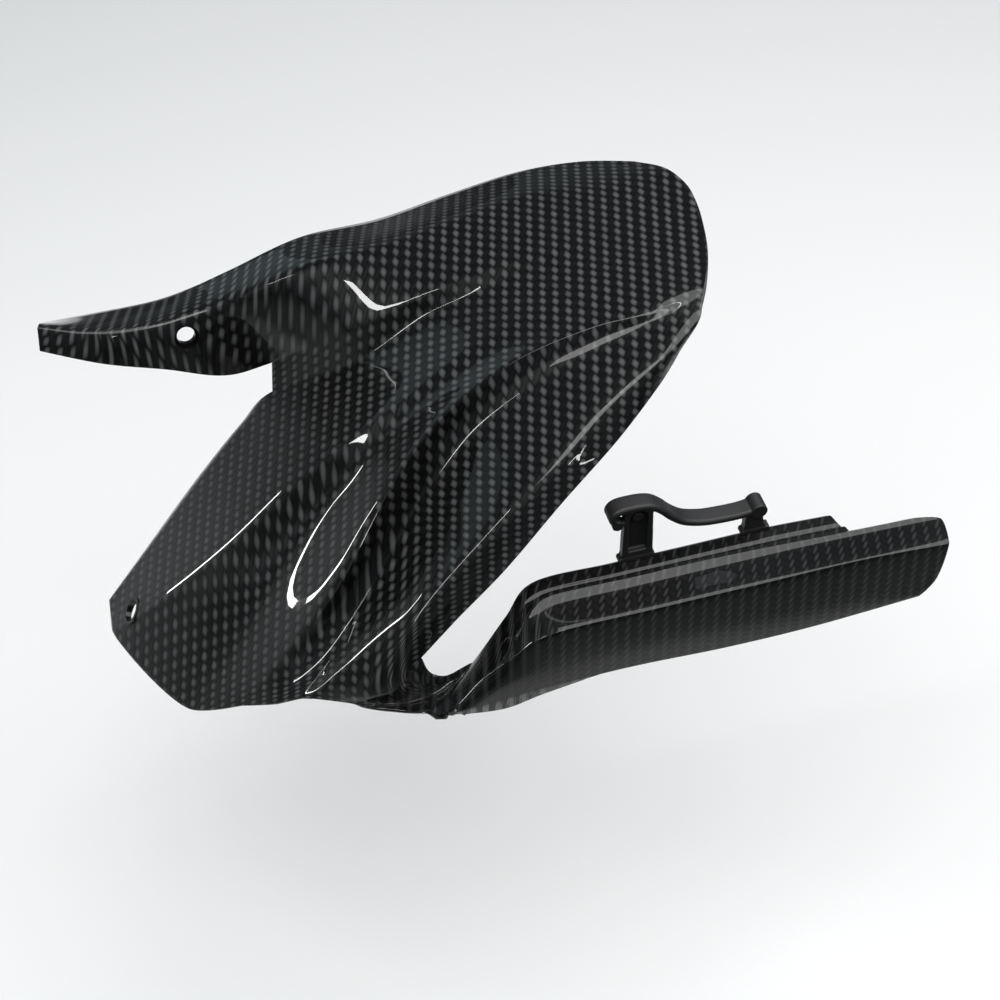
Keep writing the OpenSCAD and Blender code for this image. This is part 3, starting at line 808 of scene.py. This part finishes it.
def makeGuide(settings):
    strap, path = makeStrap(settings)
    y = Vector((0, 1, 0))
    high = settings["strapLength"] * settings["highLegPlace"]
    low = settings["strapLength"] * settings["lowLegPlace"]
    pocket = settings["legWidth"] * settings["pocketShare"]
    pocketTop = settings["strapHigh"] - pocket - settings["pocketHead"]
    pocketDepth = settings["legDepth"] - settings["pocketBack"]
    parts = makeLeg(high, settings["legWidth"], settings["strapHigh"] - settings["legBelowStrap"],
                    settings["highSpread"], settings)
    turns = [math.radians(turn) for turn in range(0, 181, 12)]
    arch = [(high + pocket * math.cos(turn), pocketTop + pocket * math.sin(turn)) for turn in turns]
    floor = settings["pocketFloor"]
    hollow = makeSlab("hollow", [(high - pocket, floor), (high + pocket, floor)] + arch, 1, pocketDepth + 1)
    combine(parts[0], hollow, "DIFFERENCE")
    parts.append(makeRod("peg", onGuide(high, -1, pocketTop), y, pocket * settings["pegShare"] * mm,
                         (2 - settings["legDepth"]) * mm, 0, guidePlastic))
    parts += makeLeg(low, settings["legWidth"] * settings["lowLegShare"], settings["strapLow"],
                     settings["lowSpread"], settings)
    for (x, _, z), share in zip((path[0], path[-1]), settings["rollShares"]):
        parts.append(makeRod("roll", onGuide(x, 1, z), y, settings["strapThickness"] * share * mm,
                             -settings["strapWidth"] * mm, 0, guidePlastic))
    build = bmesh.new()
    for part in (strap, *parts):
        build.from_mesh(part.data)
        bpy.data.objects.remove(part)
    mesh = bpy.data.meshes.new("guide_moulding")
    build.to_mesh(mesh)
    build.free()
    guide = bpy.data.objects.new("guide_moulding", mesh)
    scene.collection.objects.link(guide)
    remesh = guide.modifiers.new("mould", "REMESH")
    remesh.mode = "VOXEL"
    remesh.voxel_size = settings["cellSize"] * mm
    remesh.use_smooth_shade = True
    soften = guide.modifiers.new("soften", "SMOOTH")
    soften.factor = 0.5
    soften.iterations = 6
    settle(guide)
    guide.data.materials.clear()
    guide.data.materials.append(guidePlastic)
    return guide


guide = makeGuide(guideSettings)
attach(guide, "root")
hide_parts("hose_guide")
print("hose guide ready", len(guide.data.polygons))

# Studio
studioSettings = {
    "floorColour": (0.92, 0.92, 0.92),
    # painted shade: the floor's colour outside its painted pool of light
    "farColour": (0.17, 0.175, 0.178),
    "paleCentre": (-0.31, -0.38),
    "paleSize": (0.7, 1.15),     # metres to each side and to front and back, as the camera looks
    "paleEdge": (0.9, 1.15),     # shares of that size where the floor starts and ends to darken
    "floorRoughness": 0.9,
    "floorReach": 6.0,
    "floorDrop": 0.3,            # metres below the lowest point
    "skyColour": (0.08, 0.094, 0.1),
    # azimuth and elevation in degrees, distance, width and height in metres, glow of the face, colour
    "lamps": [
        (170, 62, 1.7, 2.0, 2.3, 3.0, (1, 1, 1)),           # large overhead panel
        (45, 62, 1.9, 1.3, 0.8, 5.2, (1, 1, 1)),            # smaller panel over the front
        (-5, 22, 2.2, 0.1, 1.3, 26.0, (1, 1, 1)),           # tall strip ahead
        (20, 80, 1.9, 0.04, 0.7, 24.0, (1, 1, 1)),          # thin strip above
        (-45, -14, 1.2, 0.018, 0.25, 18.0, (1, 1, 1)),      # low strip for the line from the tab
        (100, 20, 2.0, 0.02, 0.2, 24.0, (1, 1, 1)),         # short strip on the left
        (-108, 38, 2.0, 0.5, 0.4, 0.4, (0.9, 1, 1.05)),     # dim panel on the right
        (-60, 9, 2.0, 1.7, 0.6, 0.2, (0.8, 1, 1.06)),       # dim cool panel ahead on the right
    ],
}


def makeStudio(settings):
    lowest = cadBox[0][2] - settings["floorDrop"]
    size = settings["floorReach"]
    floorMaterial, nodes, links = newMaterial("paleFloor")
    tree = floorMaterial.node_tree
    surface = nodes["Principled BSDF"]
    surface.inputs["Roughness"].default_value = settings["floorRoughness"]
    # painted pool of light: the floor is painted pale under the object and darker further out
    place = nodes.new("ShaderNodeTexCoord")
    centred = nodes.new("ShaderNodeMapping")
    centred.vector_type = "TEXTURE"
    centred.inputs["Location"].default_value = (*settings["paleCentre"], lowest)
    centred.inputs["Rotation"].default_value = (0, 0, math.radians(cameraSettings["azimuth"] - 90))
    centred.inputs["Scale"].default_value = (*settings["paleSize"], 1)
    links.new(place.outputs["Object"], centred.inputs["Vector"])
    reach = nodes.new("ShaderNodeVectorMath")
    reach.operation = "LENGTH"
    links.new(centred.outputs[0], reach.inputs[0])
    paintedLightPool = nodes.new("ShaderNodeMapRange")
    paintedLightPool.interpolation_type = "SMOOTHSTEP"
    paintedLightPool.inputs["From Min"].default_value, paintedLightPool.inputs["From Max"].default_value = settings["paleEdge"]
    links.new(reach.outputs["Value"], paintedLightPool.inputs["Value"])
    links.new(mixColours(tree, paintedLightPool.outputs[0], settings["floorColour"], settings["farColour"]),
              surface.inputs["Base Color"])
    floor = makeObject("floor", [(-size, -size, lowest), (size, -size, lowest), (size, size, lowest),
                                 (-size, size, lowest)], [(0, 1, 2, 3)], floorMaterial)
    world = bpy.data.worlds.new("studio")
    world.use_nodes = True
    sky = world.node_tree.nodes["Background"]
    sky.inputs["Color"].default_value = (*settings["skyColour"], 1)
    sky.inputs["Strength"].default_value = 1
    scene.world = world
    middle = (Vector(cadBox[0]) + Vector(cadBox[1])) / 2
    for number, (azimuth, elevation, distance, width, height, glow, colour) in enumerate(settings["lamps"]):
        around, above = math.radians(azimuth), math.radians(elevation)
        back = Vector((math.cos(around) * math.cos(above), math.sin(around) * math.cos(above),
                       math.sin(above)))
        data = bpy.data.lights.new(f"softbox_{number + 1}", "AREA")
        data.shape = "RECTANGLE"
        data.size = width
        data.size_y = height
        data.energy = glow * math.pi * width * height
        data.color = colour
        lamp = bpy.data.objects.new(data.name, data)
        lamp.matrix_world = Matrix.Translation(middle + back * distance) \
            @ back.to_track_quat("Z", "Y").to_matrix().to_4x4()
        scene.collection.objects.link(lamp)


makeStudio(studioSettings)
scene.view_settings.view_transform = "Standard"
print("studio ready")
